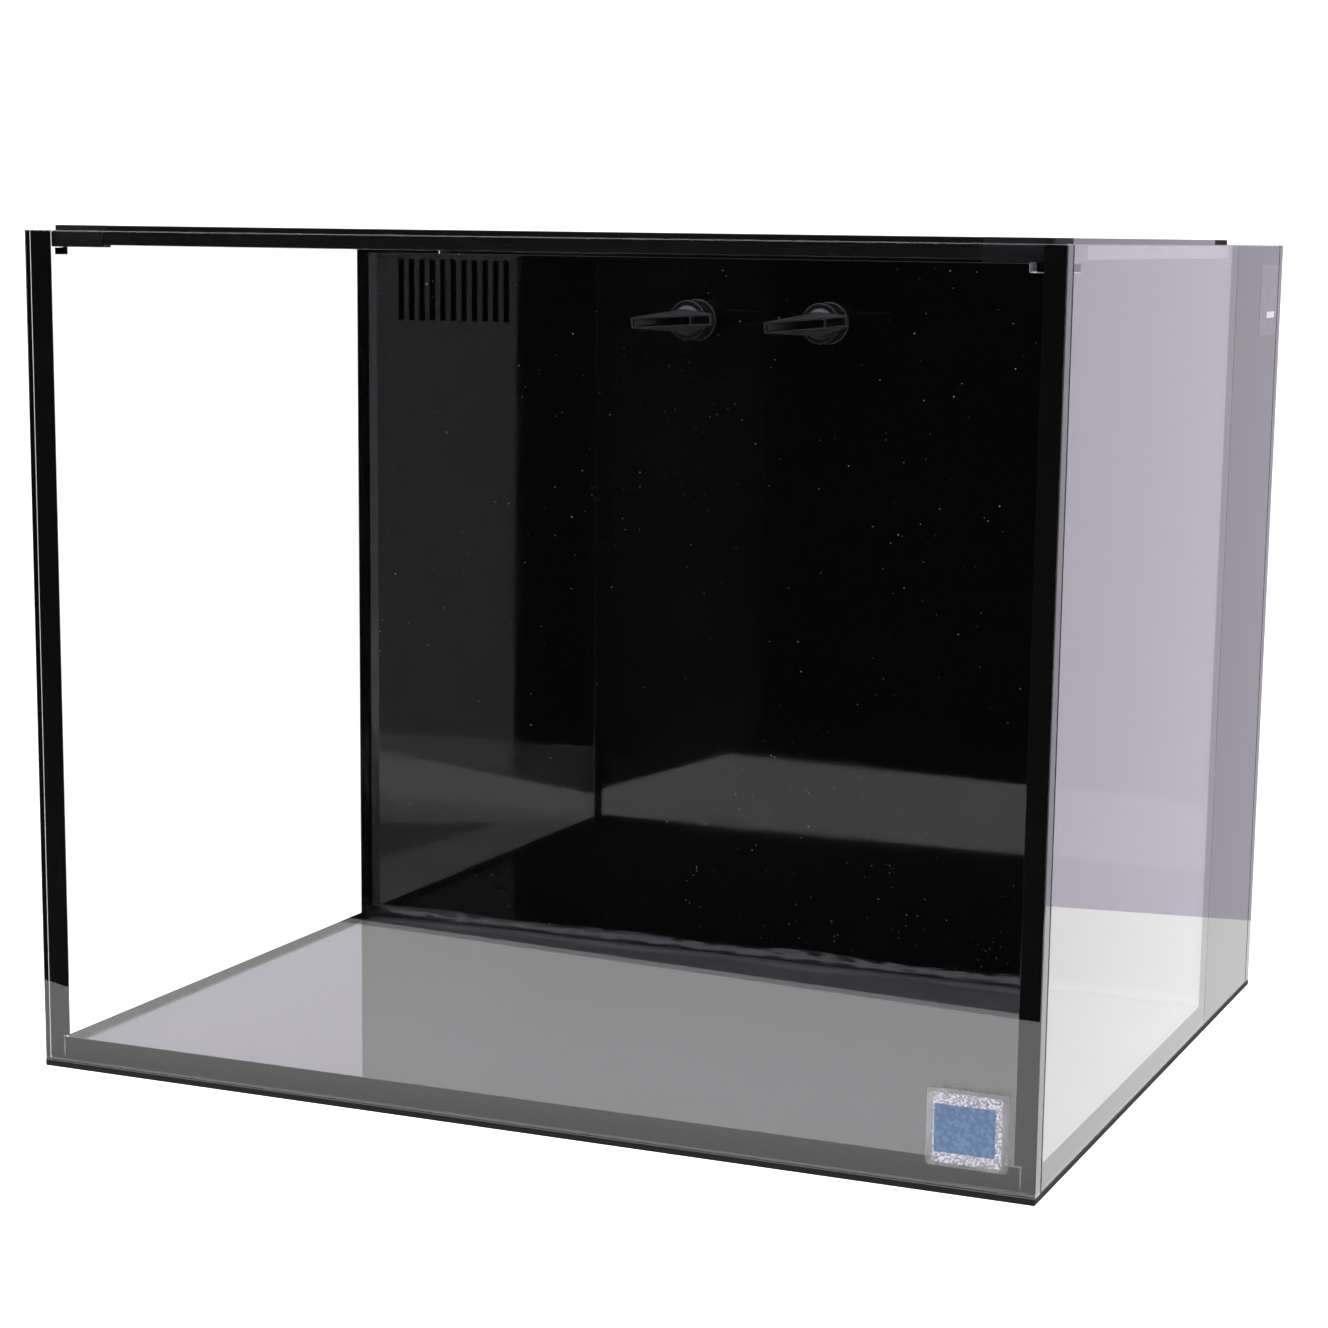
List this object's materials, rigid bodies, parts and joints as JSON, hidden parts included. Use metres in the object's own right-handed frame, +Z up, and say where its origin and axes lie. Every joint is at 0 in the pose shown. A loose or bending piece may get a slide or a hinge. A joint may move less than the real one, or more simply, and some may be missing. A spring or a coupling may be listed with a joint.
{
  "type": "all-in-one aquarium",
  "caption": "Rimless glass aquarium with a black slotted rear wall, filter chambers behind it, swivelling fan return nozzles and a lift-off net lid.",
  "frame": {"origin": "middle of the leveling mat's underside, on the surface the tank stands on", "axes": "+X to the right seen from the front, +Y to the back, +Z up"},
  "size_m": [0.6106, 0.5082, 0.493],
  "materials": {
    "mat": "matt closed-cell foam",
    "clear_glass": "clear float glass with ground edges",
    "black_glass": "gloss black glass",
    "silicone": "smooth black silicone",
    "black_acrylic": "gloss black sheet",
    "black_film": "gloss black vinyl film",
    "black_plastic": "satin moulded plastic",
    "grey_plastic": "dark grey moulded plastic",
    "white_plastic": "white moulded plastic",
    "label_stock": "blank printed sticker",
    "felt": "white needled felt",
    "foam": "open-cell filter foam",
    "ceramic": "porous fired ceramic",
    "soft_rubber": "soft black rubber",
    "clear_vinyl": "milky clear hose",
    "anodised_rail": "black anodised, satin",
    "net": "clear knotless netting",
    "clear_acrylic": "clear cast blocks"
  },
  "bodies": {
    "tank": {"leveling_mat": "mat", "bottom_pane": "clear_glass", "front_pane": "clear_glass", "left_pane": "clear_glass", "right_pane": "clear_glass", "back_pane": "black_glass", "corner_seams_front": "silicone", "corner_seams_back": "silicone", "floor_seam_front": "silicone", "floor_seam_back": "silicone", "floor_seams_side": "silicone", "rear_wall": "black_acrylic", "rear_wall_bead": "silicone", "rear_wall_seams": "silicone", "divider_intake": "black_acrylic", "divider_overflow": "black_acrylic", "divider_pump": "black_acrylic", "side_film_left": "black_film", "side_film_right": "black_film", "lid_rests": "clear_acrylic", "front_label": "label_stock", "side_label": "label_stock", "sock_bracket": "black_acrylic", "caddy_ledges": "black_acrylic", "pump_housing": "black_plastic", "pump_cover": "black_plastic", "impeller_shaft": "ceramic", "pump_feet": "soft_rubber", "cable_gland": "soft_rubber", "riser_hose": "clear_vinyl", "tee_fitting": "black_plastic", "elbow_left": "clear_vinyl", "elbow_right": "clear_vinyl", "bulkhead_left": "black_plastic", "bulkhead_right": "black_plastic", "gaskets": "soft_rubber", "bulkhead_nuts": "black_plastic"},
    "lid": {"lid_rail_front": "anodised_rail", "lid_rail_back": "anodised_rail", "lid_rail_left": "anodised_rail", "lid_rail_right": "anodised_rail", "lid_corners": "black_plastic", "lid_spline": "soft_rubber", "lid_net": "net"},
    "sock": {"sock_ring": "white_plastic", "filter_sock": "felt"},
    "caddy": {"media_caddy": "black_plastic", "foam_block": "foam", "ceramic_media": "ceramic"},
    "rotor": {"impeller": "white_plastic"},
    "dial": {"flow_dial": "grey_plastic"},
    "ring_left": {"swivel_ring_left": "black_plastic"},
    "ring_right": {"swivel_ring_right": "black_plastic"},
    "nozzle_left": {"fan_nozzle_left": "grey_plastic"},
    "nozzle_right": {"fan_nozzle_right": "grey_plastic"}
  },
  "joints": [
    {"name": "lid_lift", "type": "slide", "parent": "tank", "child": "lid", "axis": [0, 0, 1], "range_m": [0, 0.25]},
    {"name": "sock_lift", "type": "slide", "parent": "tank", "child": "sock", "axis": [0, 0, 1], "range_m": [0, 0.3]},
    {"name": "caddy_lift", "type": "slide", "parent": "tank", "child": "caddy", "axis": [0, 0, 1], "range_m": [0, 0.45]},
    {"name": "impeller_spin", "type": "hinge", "parent": "tank", "child": "rotor", "pos_m": [-0.006, 0.193, 0.045], "axis": [1, 0, 0], "continuous": true},
    {"name": "flow_dial_turn", "type": "hinge", "parent": "tank", "child": "dial", "pos_m": [0.0205, 0.193, 0.045], "axis": [1, 0, 0], "range_deg": [0, 30]},
    {"name": "ring_left_turn", "type": "hinge", "parent": "tank", "child": "ring_left", "pos_m": [-0.052, 0.122, 0.437], "axis": [0, -1, 0], "continuous": true},
    {"name": "ring_right_turn", "type": "hinge", "parent": "tank", "child": "ring_right", "pos_m": [0.04, 0.122, 0.437], "axis": [0, -1, 0], "continuous": true},
    {"name": "nozzle_left_tilt", "type": "hinge", "parent": "ring_left", "child": "nozzle_left", "pos_m": [-0.052, 0.122, 0.437], "axis": [0.998, 0, 0.0628], "range_deg": [-20, 20]},
    {"name": "nozzle_right_tilt", "type": "hinge", "parent": "ring_right", "child": "nozzle_right", "pos_m": [0.04, 0.122, 0.437], "axis": [0.9951, 0, 0.0993], "range_deg": [-20, 20]}
  ]
}
